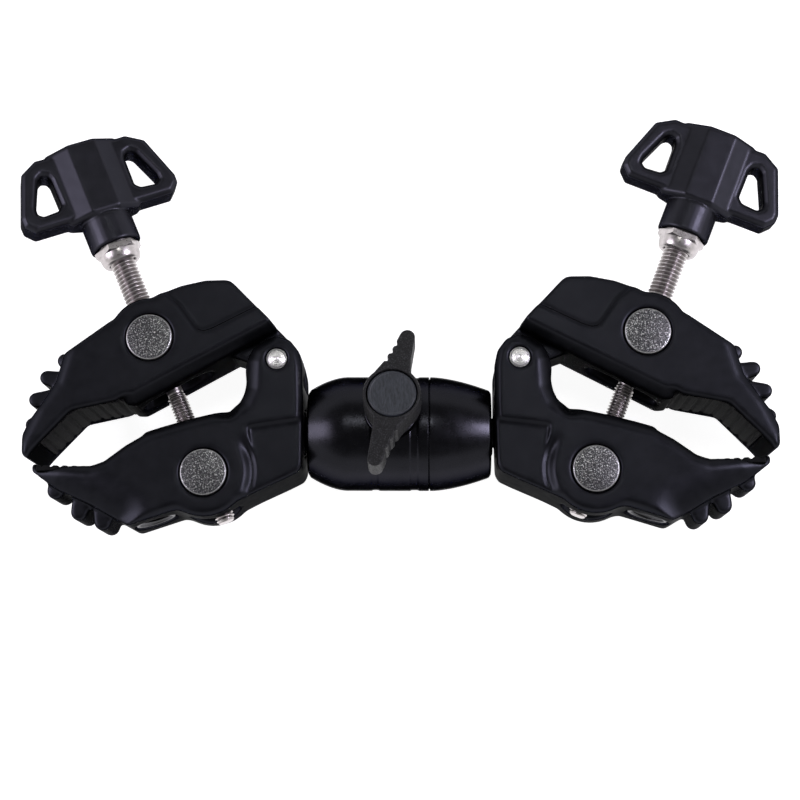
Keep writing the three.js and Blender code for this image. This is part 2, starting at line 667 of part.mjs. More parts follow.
// The soft ring round a ball's neck that keeps dirt out of the barrel.
const neckSeal = () =>
  turnedX(
    [[NECK_RADIUS + FIT, 27], [6.9, 27], [6.9, 28.2], [NECK_RADIUS + FIT, 28.2], [NECK_RADIUS + FIT, 27]],
    SMALL_ROUND,
  );

const threadInsert = () => onBottomFlat(ring(INSERT_BORE, INSERT_RADIUS, -INSERT_LENGTH - 0.5, -0.5));

// ---------- assembly ----------
function clamp(side) {
  const pieces = new THREE.Group();
  const add = (name, body, material) => pieces.add(piece(side + "_" + name, body, material));
  const addOnScrew = (name, body, material) =>
    add(name, onScrew(body.rotate([0, KNOB_TURNS[side], 0]).translate([0, KNOB_RISES[side], 0])), material);
  add("ball_stud", ballStud().translate([-CLAMP_OFFSET, 0, 0]), blackSteel());
  add("neck_seal", neckSeal().translate([-CLAMP_OFFSET, 0, 0]), rubber());
  add("lower_jaw", lowerJaw(), jawPaint());
  add("upper_jaw", upperJaw(), jawPaint());
  add("lower_pad", pad(LOWER_GRIP, -1), rubber());
  add("upper_pad", pad(UPPER_GRIP, 1), rubber());
  add("hinge_pin", hingeRivet(), steel());
  add("upper_barrel_pin", barrelPin(UPPER_PIN, M8 + 0.8), nickel());
  add("lower_barrel_pin", barrelPin(LOWER_PIN, M6 + FIT), nickel());
  add("thread_insert", threadInsert(), steel());
  addOnScrew("clamp_screw", clampScrew(), steel());
  addOnScrew("lock_washer", lockWasher(), steel());
  addOnScrew("hex_nut", hexNut(), steel());
  addOnScrew("wing_knob", wingKnob(), knobPaint());
  pieces.position.x = CLAMP_OFFSET;
  return pieces;
}

const assembly = new THREE.Group();
assembly.add(piece("barrel", barrelShell(), barrelPaint()));
assembly.add(piece("end_cap", endCap(), barrelPaint()));
assembly.add(piece("left_ball_cup", ballCup(-1), polymer()));
assembly.add(piece("right_ball_cup", ballCup(1), polymer()));
assembly.add(piece("left_thrust_block", thrustBlock(-1), brass()));
assembly.add(piece("right_thrust_block", thrustBlock(1), brass()));
assembly.add(piece("lock_screw", lockScrew(), steel()));
assembly.add(piece("lock_bush", lockBush(), nickel()));
assembly.add(piece("lock_lever", lockLever(), leverPlastic()));
assembly.add(piece("lever_cap", leverCap(), leverPlastic()));

const rightClamp = new THREE.Group();
const rightPieces = clamp("right");
rightPieces.position.x -= BALL_X;
rightClamp.add(rightPieces);
rightClamp.position.x = BALL_X;
rightClamp.rotation.z = RIGHT_TILT;
assembly.add(rightClamp);

const leftClamp = new THREE.Group();
leftClamp.add(clamp("left"));
leftClamp.rotation.y = Math.PI;
assembly.add(leftClamp);

// The origin is the middle of the box round the object, at the height of its underside.
const bounds = new THREE.Box3().setFromObject(assembly, true);
assembly.position.set(-(bounds.min.x + bounds.max.x) / 2, -(bounds.min.y + bounds.max.y) / 2, -bounds.min.z);
const group = new THREE.Group();
group.add(assembly);

export default group;
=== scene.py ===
"""Looks of the double super clamp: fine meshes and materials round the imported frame."""

import json
import math

import bmesh
import bpy
import numpy as np
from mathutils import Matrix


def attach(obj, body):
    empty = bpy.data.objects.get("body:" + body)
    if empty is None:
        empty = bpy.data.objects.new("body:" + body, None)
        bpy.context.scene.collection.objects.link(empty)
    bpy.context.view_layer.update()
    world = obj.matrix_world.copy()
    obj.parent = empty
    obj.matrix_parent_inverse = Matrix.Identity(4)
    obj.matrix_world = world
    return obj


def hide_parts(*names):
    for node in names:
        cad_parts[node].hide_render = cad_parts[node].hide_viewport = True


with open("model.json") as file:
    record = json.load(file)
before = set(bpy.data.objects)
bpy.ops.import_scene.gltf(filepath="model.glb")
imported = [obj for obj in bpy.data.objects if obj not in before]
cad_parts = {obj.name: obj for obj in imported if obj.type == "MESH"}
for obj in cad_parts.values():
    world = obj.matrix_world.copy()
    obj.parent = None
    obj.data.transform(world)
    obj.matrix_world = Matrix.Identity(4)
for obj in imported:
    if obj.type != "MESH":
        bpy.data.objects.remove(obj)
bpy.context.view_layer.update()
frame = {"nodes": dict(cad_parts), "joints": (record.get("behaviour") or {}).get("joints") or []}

import openvdb
from mathutils import Matrix, Vector

# ---------- places, from the frame ----------
MM = 0.001
SIDES = ("left", "right")
joints = {joint["name"]: joint for joint in frame["joints"]}


def joint_place(name):
    return Vector(joints[name]["pos_m"]) / MM


CENTRE = (joint_place("left_ball_roll") + joint_place("right_ball_roll")) / 2
BALL_X = (joint_place("right_ball_roll") - CENTRE).x
CLAMP_OFFSET = 0.8  # the clamps' own coordinates start this far from the barrel's middle
RIGHT_TILT = math.radians(2)
KNOB_TURNS = {"left": math.radians(16), "right": math.radians(3)}
KNOB_RISES = {"left": 0.0, "right": 1.2}

# Matrices from a piece's own millimetres to the frame's metres.
IN_FRAME = Matrix.Scale(MM, 4) @ Matrix.Translation(CENTRE)
CLAMPS = {
    "left": IN_FRAME @ Matrix.Rotation(math.pi, 4, "Y") @ Matrix.Translation((CLAMP_OFFSET, 0, 0)),
    "right": IN_FRAME
    @ Matrix.Translation((BALL_X, 0, 0))
    @ Matrix.Rotation(RIGHT_TILT, 4, "Z")
    @ Matrix.Translation((CLAMP_OFFSET - BALL_X, 0, 0)),
}


def clamp_place(name):
    """A joint's place in the right clamp's own millimetres."""
    return CLAMPS["right"].inverted() @ Vector(joints["right_" + name]["pos_m"])


HINGE = clamp_place("jaw_open")
UPPER_PIN = clamp_place("top_pin_turn")
LOWER_PIN = clamp_place("low_pin_turn")
SCREW_WAY = (UPPER_PIN - LOWER_PIN).normalized()
ON_SCREW = Matrix.Translation(UPPER_PIN) @ Matrix.Rotation(-math.atan2(SCREW_WAY.x, SCREW_WAY.y), 4, "Z")
KNOBS = {
    side: CLAMPS[side]
    @ ON_SCREW
    @ Matrix.Translation((0, KNOB_RISES[side], 0))
    @ Matrix.Rotation(KNOB_TURNS[side], 4, "Y")
    for side in SIDES
}
LEVER_WAY = Vector(joints["lock_turn"]["axis"])
LEVER_LEAN = math.atan2(-LEVER_WAY.y, LEVER_WAY.z)
LEVER_PLACE = joint_place("lock_turn") - CENTRE
LEVER = IN_FRAME @ Matrix.Translation(LEVER_PLACE) @ Matrix.Rotation(LEVER_LEAN, 4, "X")
# The lever is drawn a little off the CAD lever's place and turn, as the photo shows it.
LEVER_SHIFT = (0.5, 0.4, 0)
LEVER_TURN = math.radians(3.5)
LEVER_SHOWN = LEVER @ Matrix.Translation(LEVER_SHIFT) @ Matrix.Rotation(LEVER_TURN, 4, "Z")
ALONG_X = Matrix.Rotation(math.pi / 2, 4, "Y")  # turns a piece drawn along +Z onto +X
ALONG_Y = Matrix.Rotation(-math.pi / 2, 4, "X")  # turns a piece drawn along +Z onto +Y
# Turns a piece drawn along +Z onto +X, and counts from where the clamps' coordinates start.
ON_STUD_AXIS = Matrix.Translation((-CLAMP_OFFSET, 0, 0)) @ ALONG_X


# ---------- making pieces ----------
def make_piece(name, mesh, place, body, slot, material, *nodes):
    """An object in the frame with its mesh moved to place, riding on a body and standing for CAD nodes."""
    mesh.transform(place)
    if place.determinant() < 0:
        mesh.flip_normals()
    mesh.polygons.foreach_set("use_smooth", [True] * len(mesh.polygons))
    mesh.materials.append(material)
    piece = bpy.data.objects.new(name, mesh)
    bpy.context.scene.collection.objects.link(piece)
    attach(piece, body)
    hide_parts(*nodes)
    return piece


WELD = 1e-5  # points of a turned piece that are nearer than this, in millimetres, are one


def skin(points, faces, weld=None):
    """A mesh with its faces turned outwards."""
    mesh = bpy.data.meshes.new("piece")
    mesh.from_pydata(points, [], faces)
    mesh.validate()
    work = bmesh.new()
    work.from_mesh(mesh)
    if weld:
        bmesh.ops.remove_doubles(work, verts=work.verts, dist=weld)
    bmesh.ops.recalc_face_normals(work, faces=work.faces)
    work.to_mesh(mesh)
    work.free()
    return mesh


# ---------- sculpted castings: the CAD solid as a distance field, softened and worked on ----------
BAND = 3.0  # how far from the surface the distance is kept
MARGIN = 2  # voxels of room on each side of a casting's grid
BLUR_REACH = 2.6  # how many of its spreads the blur looks out


class Casting:
    """A CAD node's distance field on a grid, in the piece's own millimetres."""

    def __init__(self, node, place, voxel):
        source = frame["nodes"][node].data
        source.calc_loop_triangles()
        points = np.empty(len(source.vertices) * 3, np.float32)
        source.vertices.foreach_get("co", points)
        corners = np.empty(len(source.loop_triangles) * 3, np.int32)
        source.loop_triangles.foreach_get("vertices", corners)
        inverse = np.array(place.inverted())
        local = points.reshape(-1, 3) @ inverse[:3, :3].T + inverse[:3, 3]
        self.voxel = voxel
        self.transform = openvdb.createLinearTransform(voxelSize=voxel)
        grid = openvdb.FloatGrid.createLevelSetFromPolygons(
            points=local.astype(np.float32),
            triangles=corners.reshape(-1, 3).astype(np.uint32),
            transform=self.transform,
            halfWidth=BAND / voxel,
        )
        low, high = grid.evalActiveVoxelBoundingBox()
        self.low = tuple(i - MARGIN for i in low)
        shape = [b - a + 1 + 2 * MARGIN for a, b in zip(low, high)]
        self.field = np.empty(shape, np.float32)
        grid.copyToArray(self.field, ijk=self.low)
        ticks = [(self.low[i] + np.arange(shape[i], dtype=np.float32)) * voxel for i in range(3)]
        self.x, self.y, self.z = np.meshgrid(*ticks, indexing="ij", sparse=True)

    def soften(self, radius):
        """Rounds every edge and corner, convex and concave alike."""
        spread = radius / self.voxel
        reach = math.ceil(BLUR_REACH * spread)
        steps = np.arange(-reach, reach + 1)
        weights = np.exp(-0.5 * (steps / spread) ** 2)
        weights /= weights.sum()
        for axis in range(3):
            margin = [(reach, reach) if a == axis else (0, 0) for a in range(3)]
            wide = np.moveaxis(np.pad(self.field, margin, mode="edge"), axis, 0)
            count = self.field.shape[axis]
            total = sum(w * wide[k : k + count] for k, w in enumerate(weights))
            self.field = np.moveaxis(total, 0, axis).astype(np.float32)

    def grow(self, by):
        """Moves the whole surface outwards."""
        self.field = self.field - np.float32(by)

    def carve(self, other, soft):
        """Takes away the space where other is negative, with a soft edge."""
        away = -other
        share = np.clip(0.5 + 0.5 * (self.field - away) / soft, 0, 1)
        joined = away * (1 - share) + self.field * share + soft * share * (1 - share)
        self.field = joined.astype(np.float32)

    def mesh(self, name):
        grid = openvdb.FloatGrid(BAND)
        grid.copyFromArray(np.ascontiguousarray(self.field), ijk=self.low)
        grid.transform = self.transform
        grid.gridClass = openvdb.GridClass.LEVEL_SET
        points, quads = grid.convertToQuads()
        mesh = bpy.data.meshes.new(name)
        mesh.from_pydata(points.tolist(), [], quads[:, ::-1].tolist())
        return mesh


def line_distance(x, y, line):
    """The distance in the XY plane from a line of points."""
    best = None
    for (ax, ay), (bx, by) in zip(line, line[1:]):
        wx, wy = bx - ax, by - ay
        share = np.clip(((x - ax) * wx + (y - ay) * wy) / (wx * wx + wy * wy), 0, 1)
        away = np.hypot(x - ax - share * wx, y - ay - share * wy)
        best = away if best is None else np.minimum(best, away)
    return best


def fall(distance, width):
    """1 at the line, easing to 0 at width."""
    return np.clip(1 - distance / width, 0, 1) ** 2


def window(value, low, high, ease):
    """0 outside low and high, easing up to 1 between them."""
    rise = np.clip((value - low) / ease, 0, 1) * np.clip((high - value) / ease, 0, 1)
    return rise * rise * (3 - 2 * rise)


HALF_DEPTH = 15.0
JAW_VOXEL = 0.42
KNOB_VOXEL = 0.32
FINE_VOXEL = 0.26

# Lines on the jaws' faces, in the right clamp's own millimetres, towards which the faces fall away.
EAR_EDGE = [(38.6, 28.0), (43.9, 24.6), (45.6, 20.6), (45.8, 12.0), (47.4, 8.0), (51.0, 5.4)]
MOUTH_EDGE = [
    (51.0, 5.4), (62.3, 2.6), (75.8, -1.5), (82.0, -5.2), (88.2, -9.9), (92.0, -11.2), (110.6, -10.8)
]
LOWER_TEETH_EDGE = [(113.0, -12.0), (104.0, -19.0), (94.0, -24.0), (84.0, -28.5)]
UPPER_TEETH_EDGE = [(101.4, 23.0), (104.0, 13.7), (109.5, 6.1), (113.6, -3.0)]
# (line, how deep, how wide) for each of a jaw's bevels.
LOWER_BEVELS = ((EAR_EDGE, 3.4, 5.6), (MOUTH_EDGE, 3.0, 4.6), (LOWER_TEETH_EDGE, 4.6, 13.0))
UPPER_BEVELS = ((UPPER_TEETH_EDGE, 2.2, 4.5),)
FACE_SOFTNESS = 0.5  # how softly a jaw's carved face meets its sides


def bevelled_height(casting, bevels):
    """How high a jaw's face stands over the jaw's middle plane."""
    height = HALF_DEPTH
    for line, drop, width in bevels:
        height = height - drop * fall(line_distance(casting.x, casting.y, line), width)
    return height


def lower_jaw_mesh():
    """The lower jaw, with a groove part of the way round the pin's boss."""
    casting = Casting("right_lower_jaw", CLAMPS["right"], JAW_VOXEL)
    casting.soften(radius=0.62)
    across, along = casting.x - LOWER_PIN.x, casting.y - LOWER_PIN.y
    radius = np.hypot(across, along)
    angle = np.degrees(np.arctan2(along, across)) % 360
    depth, groove_radius, half_width = 2.0, 14.8, 1.9
    start, end, ease = 128, 226, 34  # degrees round the pin
    groove = np.exp(-(((radius - groove_radius) / half_width) ** 2)) * window(angle, start, end, ease)
    height = bevelled_height(casting, LOWER_BEVELS) - depth * groove
    casting.carve(height - np.abs(casting.z), FACE_SOFTNESS)
    return casting.mesh("lower_jaw")


def upper_jaw_mesh():
    casting = Casting("right_upper_jaw", CLAMPS["right"], JAW_VOXEL)
    casting.soften(radius=0.55)
    casting.carve(bevelled_height(casting, UPPER_BEVELS) - np.abs(casting.z), FACE_SOFTNESS)
    return casting.mesh("upper_jaw")


def wing_knob_mesh():
    casting = Casting("right_wing_knob", KNOBS["right"], KNOB_VOXEL)
    casting.soften(radius=0.3)
    casting.grow(by=0.15)
    return casting.mesh("wing_knob")


LEVER_TOP = 32.0
LEVER_HUB = 9.2
LEVER_SLOPE = 0.12


def lock_lever_mesh():
    """The lever, its arms sloping down a little towards their tips."""
    casting = Casting("lock_lever", LEVER, FINE_VOXEL)
    casting.soften(radius=0.22)
    past_hub = np.clip(np.hypot(casting.x, casting.y) - LEVER_HUB, 0, None)
    casting.carve(LEVER_TOP - LEVER_SLOPE * past_hub - casting.z, soft=0.3)
    return casting.mesh("lock_lever")


def pad_mesh(node):
    casting = Casting(node, CLAMPS["right"], FINE_VOXEL)
    casting.soften(radius=0.14)
    return casting.mesh(node)


# ---------- turned pieces ----------
def rounded(profile, radius, steps=5):
    """The profile with each inner corner replaced by a small curve."""
    most = 0.45  # the share of a straight that one corner's curve may take
    least = 1e-3  # a curve shorter than this is left out
    flat = math.radians(172)  # a corner at least this open stays as it is
    points = [profile[0]]
    for before, corner, after in zip(profile, profile[1:], profile[2:]):
        a, b, c = Vector(before), Vector(corner), Vector(after)
        to_a, to_c = a - b, c - b
        reach = min(radius, to_a.length * most, to_c.length * most)
        if to_a.angle(to_c) > flat or reach < least:
            points.append(corner)
            continue
        start, end = b + to_a.normalized() * reach, b + to_c.normalized() * reach
        for i in range(steps + 1):
            t = i / steps
            points.append(tuple(start.lerp(b, t).lerp(b.lerp(end, t), t)))
    points.append(profile[-1])
    return points


def plain_rings(outline, sides):
    """A ring for each (radius, height) of an outline: the same point once for each side."""
    return [[point] * sides for point in outline]


def ring_points(rings):
    """The places of the rings' points, round the Z axis."""
    sides = len(rings[0])
    points = []
    for ring in rings:
        for k, (radius, height) in enumerate(ring):
            angle = 2 * math.pi * k / sides
            points.append((radius * math.cos(angle), radius * math.sin(angle), height))
    return points


def ring_faces(rings):
    """The faces between each ring and the next."""
    sides = len(rings[0])
    faces = []
    for i in range(len(rings) - 1):
        for k in range(sides):
            n = (k + 1) % sides
            faces.append((i * sides + k, i * sides + n, (i + 1) * sides + n, (i + 1) * sides + k))
    return faces


def lathe(profile, sides=96):
    """A profile of (radius, height) turned round the Z axis, closed on the axis or on itself."""
    rings = plain_rings(profile, sides)
    return skin(ring_points(rings), ring_faces(rings), WELD)


def rod(radius, low, high):
    return lathe([(0, low), (radius, low), (radius, high), (0, high)], sides=48)


def tube(inner, outer, low, high, edge, sides):
    """A round piece with a hole through it, its edges rounded."""
    section = [(inner, low), (outer, low), (outer, high), (inner, high), (inner, low)]
    return lathe(rounded(section, edge), sides)


def without(mesh, cutter):
    """The mesh with the cutter's space taken away."""
    objects = [bpy.data.objects.new("work", m) for m in (mesh, cutter)]
    for each in objects:
        bpy.context.scene.collection.objects.link(each)
    step = objects[0].modifiers.new("cut", "BOOLEAN")
    step.operation, step.solver, step.object = "DIFFERENCE", "EXACT", objects[1]
    done = bpy.data.meshes.new_from_object(objects[0].evaluated_get(bpy.context.evaluated_depsgraph_get()))
    for each in objects:
        bpy.data.objects.remove(each)
    return done


# The barrel and its end cap: radii, and places along X from the barrel's middle.
BARREL_RADIUS = 17.5
BARREL_HALF = 27.9
BARREL_SIDES = 144
RIM_RADIUS = 12.5
RIM_EDGE = 0.6
# By side: where each end starts to close in, how far and how roundly.
DOMES = {-1: (16.0, 4.0, 1.75), 1: (9.7, 4.1, 1.6)}
GROOVES = ((-8.6, -6.1), (3.2, 6.0))
GROOVE_FLOOR_RADIUS = 17.25
GROOVE_FLANK = 0.5
SEAM = 9.1
SEAM_HALF = 0.15
SEAM_CHAMFER = 0.15
SEAM_LIP_RADIUS = 16.9
BORE_RADIUS = 12.4
SPIGOT_RADIUS = 14.4
SPIGOT_LENGTH = 4.5
SPIGOT_GAP = 0.3
MOUTH_RADIUS = 8.7
SEAT_RADIUS = 10.3
SEAT_ANGLE = 44  # degrees from the barrel's axis, where a ball's seat starts
LEVER_BORE_RADIUS = 6.3
TURNED_EDGE = 0.35


def dome(side, steps=28):
    """The outside of one end, from its rim back to where it starts to close in."""
    start, drop, power = DOMES[side]
    run = BARREL_HALF - RIM_EDGE - start
    shares = [1 - i / steps for i in range(steps + 1)]
    return [(BARREL_RADIUS - drop * s**power, side * (start + run * s)) for s in shares]


def ball_seat(side, steps=16):
    """The rounded seat from a rim's mouth to the bore, on one end."""
    arc = [math.radians(SEAT_ANGLE + (90 - SEAT_ANGLE) * i / steps) for i in range(steps + 1)]
    seat = [(SEAT_RADIUS * math.sin(a), side * (BALL_X + SEAT_RADIUS * math.cos(a))) for a in arc]
    return [(MOUTH_RADIUS, side * BARREL_HALF), *seat]


def barrel_mesh():
    """The barrel's body: its outline runs from the left rim along the outside and back inside."""
    grooves = []
    for low, high in GROOVES:
        grooves += [(BARREL_RADIUS, low), (GROOVE_FLOOR_RADIUS, low + GROOVE_FLANK)]
        grooves += [(GROOVE_FLOOR_RADIUS, high - GROOVE_FLANK), (BARREL_RADIUS, high)]
    rim = (RIM_RADIUS, -BARREL_HALF)
    face = SEAM - SEAM_HALF
    socket = SPIGOT_RADIUS + SPIGOT_GAP
    socket_end = SEAM - SPIGOT_LENGTH - SPIGOT_GAP
    outside = [rim, *dome(-1), *grooves, (BARREL_RADIUS, face - SEAM_CHAMFER)]
    outside += [(BARREL_RADIUS - SEAM_CHAMFER, face), (socket, face)]
    inside = [(socket, socket_end), (BORE_RADIUS, socket_end), (BORE_RADIUS, -BALL_X)]
    inside += [*reversed(ball_seat(-1)), rim]
    body = lathe(rounded(outside + inside, TURNED_EDGE), BARREL_SIDES)
    body.transform(ALONG_X)
    hole = rod(LEVER_BORE_RADIUS, low=10, high=24)
    hole.transform(IN_FRAME.inverted() @ LEVER)
    return without(body, hole)


def end_cap_mesh():
    """The end cap, with the spigot that goes into the barrel and a lip that closes the seam's floor."""
    spigot_end = SEAM - SPIGOT_LENGTH
    lip = SEAM - 0.1
    face = SEAM + SEAM_HALF
    outside = [(SPIGOT_RADIUS, spigot_end), (SPIGOT_RADIUS, lip)]
    outside += [(SEAM_LIP_RADIUS, lip), (SEAM_LIP_RADIUS, face)]
    outside += [(BARREL_RADIUS - SEAM_CHAMFER, face), (BARREL_RADIUS, face + SEAM_CHAMFER)]
    outside += [*reversed(dome(1)), (RIM_RADIUS, BARREL_HALF)]
    inside = [*ball_seat(1), (BORE_RADIUS, BALL_X), (BORE_RADIUS, spigot_end), (SPIGOT_RADIUS, spigot_end)]
    mesh = lathe(rounded(outside + inside, TURNED_EDGE), BARREL_SIDES)
    mesh.transform(ALONG_X)
    return mesh


def lever_seat_mesh():
    """The raised round seat on the barrel under the lever."""
    return tube(LEVER_BORE_RADIUS, outer=8.0, low=15.0, high=19.3, edge=0.5, sides=96)


def ball_stud_mesh():
    """A ball on a neck, with a flange and a shank that goes into the lower jaw.

    The neck's start is measured from the ball's centre, the other places from the barrel's middle.
    """
    radius, neck, neck_start, neck_end = 10.0, 4.5, 8.93, 28.6
    flange, flange_low, flange_high = 6.9, 28.9, 30.6
    shank, shank_end = 4.0, 39.4
    steps, sweep = 40, 153
    arc = [math.radians(-90 + i * (sweep / steps)) for i in range(1, steps + 1)]
    ball = [(radius * math.cos(a), BALL_X + radius * math.sin(a)) for a in arc]
    stem = [(neck, BALL_X + neck_start), (neck, neck_end), (flange, flange_low), (flange, flange_high)]
    stem += [(shank, flange_high), (shank, shank_end - 0.8), (shank - 0.6, shank_end), (0, shank_end)]
    mesh = lathe([(0, BALL_X - radius), *ball, *rounded(stem, radius=0.3)[1:]])
    mesh.transform(ON_STUD_AXIS)
    return mesh


def neck_seal_mesh():
    mesh = tube(inner=4.8, outer=6.9, low=27.0, high=28.2, edge=0.5, sides=64)
    mesh.transform(ON_STUD_AXIS)
    return mesh


UPPER_BORE_RADIUS = 4.8
LOWER_BORE_RADIUS = 3.3


def barrel_pin_mesh(place, bore):
    """A barrel pin with a flat face, a fine chamfered rim and the screw's cross bore."""
    half, radius = 15.2, 7.0
    crown = [(0, half), (6.35, half), (6.45, half - 0.02), (6.75, half - 0.05), (radius, half - 0.45)]
    body = lathe([(r, -h) for r, h in crown] + list(reversed(crown)))
    hole = rod(bore, low=-10, high=10)
    hole.transform(ON_SCREW.to_3x3().to_4x4() @ ALONG_Y)
    pin = without(body, hole)
    pin.transform(Matrix.Translation(place))
    return pin


def rivet_mesh():
    """A rivet spun over at both ends: a low dome with turned rings and a small dimple."""
    top, radius, drop, steps = 14.25, 3.1, 0.75, 60
    ring_height, ring_pitch = 0.035, 0.62
    dimple_depth, dimple_radius = 0.35, 0.55
    head = []
    for i in range(steps + 1):
        r = radius * i / steps
        turned = ring_height * math.cos(2 * math.pi * r / ring_pitch)
        dimple = dimple_depth * max(0.0, 1 - r / dimple_radius)
        head.append((r, top - drop * (r / radius) ** 2 - dimple + turned))
    mesh = lathe([(r, -h) for r, h in head] + list(reversed(head)), sides=64)
    mesh.transform(Matrix.Translation(HINGE))
    return mesh


# ---------- threads ----------
THREAD_DEPTH = 0.64  # of one pitch
CREST, FLANK, FLANK_BOW = 0.1, 0.72, 0.85  # shares of half a pitch, and how much the flanks bow
RINGS_PER_TURN = 12


def thread_depth(phase):
    """The share of the full depth at a phase of one pitch: a narrow crest, bowed flanks, a flat root."""
    distance = abs((phase % 1.0) - 0.5) * 2
    return min(1.0, max(0.0, (distance - CREST) / FLANK)) ** FLANK_BOW


def thread(low, high, radius, pitch, hand, sides, runout=1.2):
    """Rings of (radius, height) along one thread, which fades in and out over runout pitches."""
    depth = THREAD_DEPTH * pitch
    count = max(2, round((high - low) / pitch * RINGS_PER_TURN))
    rings = []
    for i in range(count + 1):
        h = low + (high - low) * i / count
        fade = min(1.0, (h - low) / (runout * pitch), (high - h) / (runout * pitch))
        ring = []
        for k in range(sides):
            phase = h / pitch - hand * k / sides
            ring.append((radius - depth * max(thread_depth(phase), 1 - fade), h))
        rings.append(ring)
    return rings


def ring_mesh(rings, caps=True):
    """A skin over the rings, closed by a cap at each end, or else by joining the last ring to the first."""
    sides, last = len(rings[0]), len(rings) - 1
    points, faces = ring_points(rings), ring_faces(rings)
    if caps:
        for row, way in ((0, -1), (last, 1)):
            centre = len(points)
            points.append((0, 0, rings[row][0][1]))
            faces += [(centre, row * sides + k, row * sides + (k + 1) % sides)[::way] for k in range(sides)]
    else:
        for k in range(sides):
            n = (k + 1) % sides
            faces.append((last * sides + k, last * sides + n, n, k))
    return skin(points, faces)


M8, M6 = 4.0, 3.0  # the threads' radii
M8_PITCH, M6_PITCH = 1.25, 1.0
SCREW_TOP, M8_END, M6_START, SCREW_END = 54.0, -13.0, -16.5, -59.6
SCREW_SIDES = 48


def screw_mesh():
    """A left-handed M6 thread, a plain waist and a right-handed M8 thread, from the tip up."""
    tip = [(1.9, SCREW_END), (2.35, SCREW_END + 0.3)]
    waist = [(2.5, M6_START + 0.1), (2.55, M6_START + 0.6), (2.55, M8_END - 0.9)]
    shoulder = [(2.7, M8_END - 0.6), (3.3, M8_END - 0.1)]
    rings = plain_rings(tip, SCREW_SIDES)
    rings += thread(SCREW_END + 0.35, M6_START, M6, M6_PITCH, -1, SCREW_SIDES)
    rings += plain_rings(waist + shoulder, SCREW_SIDES)
    rings += thread(M8_END, SCREW_TOP, M8, M8_PITCH, 1, SCREW_SIDES)
    mesh = ring_mesh(rings)
    mesh.transform(ALONG_Y)
    return mesh


NUT_BOTTOM, NUT_COLLAR, NUT_HEX, NUT_FLATS = 29.1, 3.4, 2.2, 13.0
NUT_CORNER = NUT_FLATS / math.sqrt(3)
NUT_CONE = 0.62  # how high its turned lower corners reach
SCREW_HOLE_RADIUS = 4.3
WASHER_BOTTOM, WASHER_THICKNESS, WASHER_RADIUS = 35.0, 0.55, 5.9


def hex_reach(angle):
    step = math.pi / 3
    return (NUT_FLATS / 2) / math.cos((angle % step) - step / 2)


def nut_mesh():
    """A thin hexagon, its lower corners turned to a cone, on a rounded collar."""
    sides, steps = 144, 10
    edge, crease = 0.15, math.radians(25)
    collar = [(4.75, 0.0), (5.2, 0.05), (5.6, 0.3), (5.95, 0.8), (6.25, 1.8), (6.45, 3.0)]
    rings = plain_rings([(r, NUT_BOTTOM + h) for r, h in collar], sides)
    flats = NUT_BOTTOM + NUT_COLLAR
    reaches = [hex_reach(2 * math.pi * k / sides) for k in range(sides)]
    levels = [NUT_CONE * i / steps for i in range(steps + 1)] + [NUT_HEX - edge, NUT_HEX]
    for level in levels:
        turned = NUT_FLATS / 2 + (NUT_CORNER - NUT_FLATS / 2) * min(1.0, level / NUT_CONE) - 0.02
        inset = edge if level == NUT_HEX else 0.0
        rings.append([(min(reach, turned) - inset, flats + level) for reach in reaches])
    bore = [(SCREW_HOLE_RADIUS, flats + NUT_HEX), (SCREW_HOLE_RADIUS, NUT_BOTTOM + 0.5)]
    rings += plain_rings(bore, sides)
    mesh = ring_mesh(rings, caps=False)
    mesh.set_sharp_from_angle(angle=crease)
    mesh.transform(ALONG_Y)
    return mesh


def washer_mesh():
    top = WASHER_BOTTOM + WASHER_THICKNESS
    mesh = tube(SCREW_HOLE_RADIUS, WASHER_RADIUS, WASHER_BOTTOM, top, edge=0.15, sides=72)
    mesh.transform(ALONG_Y)
    return mesh


# The flat under the lower jaw, with the threaded insert in it.
FLAT_START, FLAT_END = (66.2, -25.3), (80.1, -30.0)
FLAT_WAY = Vector((FLAT_END[0] - FLAT_START[0], FLAT_END[1] - FLAT_START[1], 0)).normalized()
INSERT_PLACE = Vector((73.4, -27.74, 0))
INSERT_PITCH = 1.5875


def insert_mesh():
    """A steel sleeve with an inner thread, drawn along its outward way."""
    outer, inner, mouth, bottom = 6.2, 4.35, -0.5, -9.5
    sleeve = [(outer - 0.2, mouth), (outer, mouth - 0.3), (outer, bottom), (5.0, bottom)]
    turns = thread(bottom + 0.2, mouth - 0.4, inner, INSERT_PITCH, 1, SCREW_SIDES, runout=0.6)
    rings = plain_rings(sleeve, SCREW_SIDES)
    rings += [[(2 * inner - r, h) for r, h in ring] for ring in turns]
    rings += plain_rings([(5.3, mouth)], SCREW_SIDES)
    mesh = ring_mesh(rings, caps=False)
    turn = Matrix.Rotation(math.atan2(-FLAT_WAY.x, FLAT_WAY.y) - math.pi / 2, 4, "Z")
    mesh.transform(Matrix.Translation(INSERT_PLACE) @ turn @ ALONG_Y)
    return mesh


def lever_cap_mesh():
    """The lever's disc: a chamfered rim round a face that is sunk a little."""
    top, bottom, radius = 31.7, 29.6, 7.25
    face = top - 0.14
    profile = [(0, bottom), (radius - 0.3, bottom), (radius, bottom + 0.3), (radius, top - 0.45)]
    profile += [(radius - 0.35, top), (radius - 0.8, top - 0.02), (radius - 1.05, face), (0, face)]
    return lathe(rounded(profile, radius=0.15))


# ---------- materials ----------
NOISE_ROUGHNESS = 0.55


